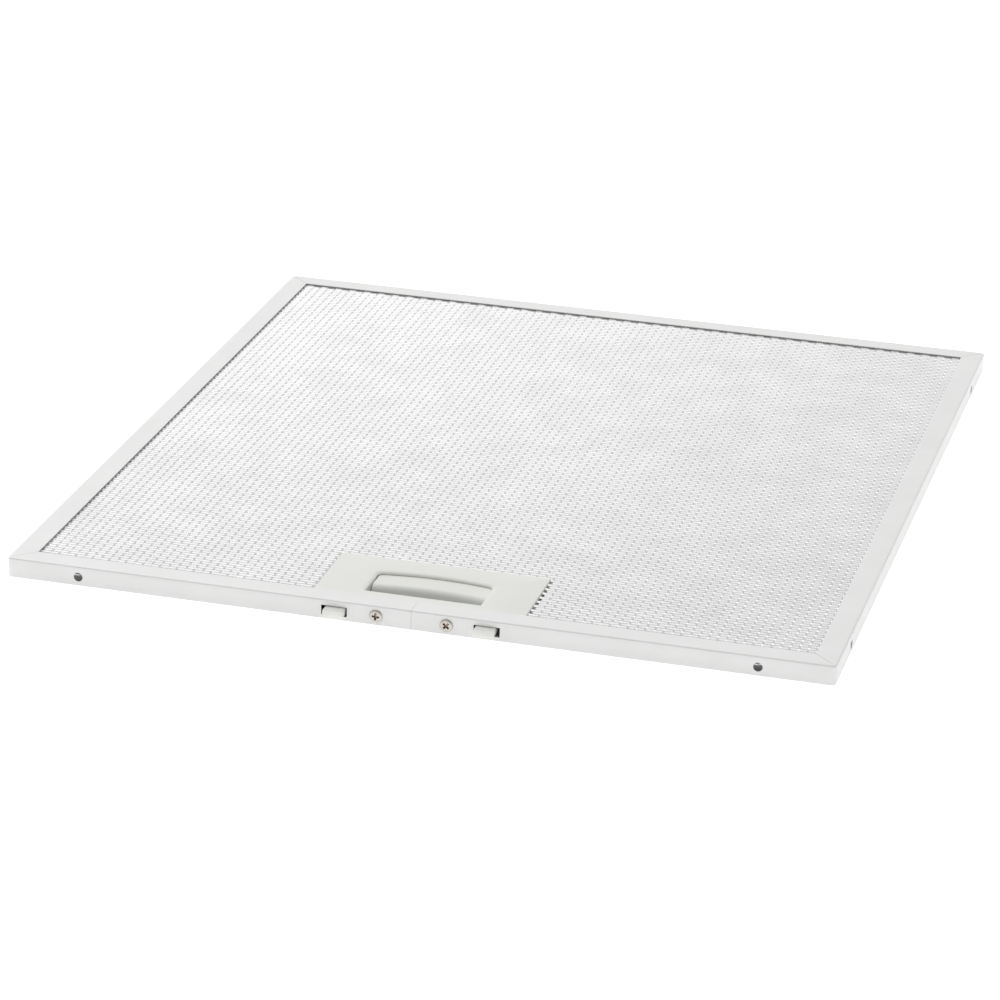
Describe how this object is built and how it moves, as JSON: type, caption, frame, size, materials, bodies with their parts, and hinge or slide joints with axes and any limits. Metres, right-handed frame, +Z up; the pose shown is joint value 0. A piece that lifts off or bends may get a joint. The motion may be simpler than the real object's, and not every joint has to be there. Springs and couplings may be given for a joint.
{
  "type": "range hood grease filter",
  "caption": "Flat rectangular aluminium grease filter: mitred edge channel round layers of expanded mesh, with a recessed plastic handle whose sprung slide carries latch tongues.",
  "frame": {"origin": "middle of the underside of the bounding box, with the latch tongues out; the frame's front face is 198.5 mm in front of it and the rear face 201.5 mm behind it", "axes": "+X to the right along the handle side, +Y from the handle side to the rear side, +Z up through the thickness, out of the face that has the finger opening"},
  "size_m": [0.36, 0.403, 0.009],
  "materials": {
    "edge_aluminium": "satin",
    "mesh_aluminium": "satin",
    "foil_aluminium": "satin",
    "handle_plastic": "satin",
    "tray_plastic": "satin",
    "spring_steel": "satin",
    "screw_steel": "satin"
  },
  "bodies": {
    "cassette": {"frame_channel": "edge_aluminium", "bottom_mesh": "mesh_aluminium", "inner_mesh_1": "foil_aluminium", "inner_mesh_2": "foil_aluminium", "inner_mesh_3": "foil_aluminium", "inner_mesh_4": "foil_aluminium", "inner_mesh_5": "foil_aluminium", "inner_mesh_6": "foil_aluminium", "inner_mesh_7": "foil_aluminium", "top_mesh": "mesh_aluminium", "handle_base": "tray_plastic", "handle_plate": "handle_plastic", "latch_spring_left": "spring_steel", "latch_spring_right": "spring_steel", "handle_screw_left": "screw_steel", "handle_screw_right": "screw_steel"},
    "latch": {"latch_slider": "handle_plastic"}
  },
  "joints": [
    {"name": "latch_slide", "type": "slide", "parent": "cassette", "child": "latch", "axis": [0, 1, 0], "range_m": [0, 0.004], "stiffness_N_per_m": 400, "springref_m": -0.006, "deforming": ["latch_spring_left", "latch_spring_right"]}
  ]
}
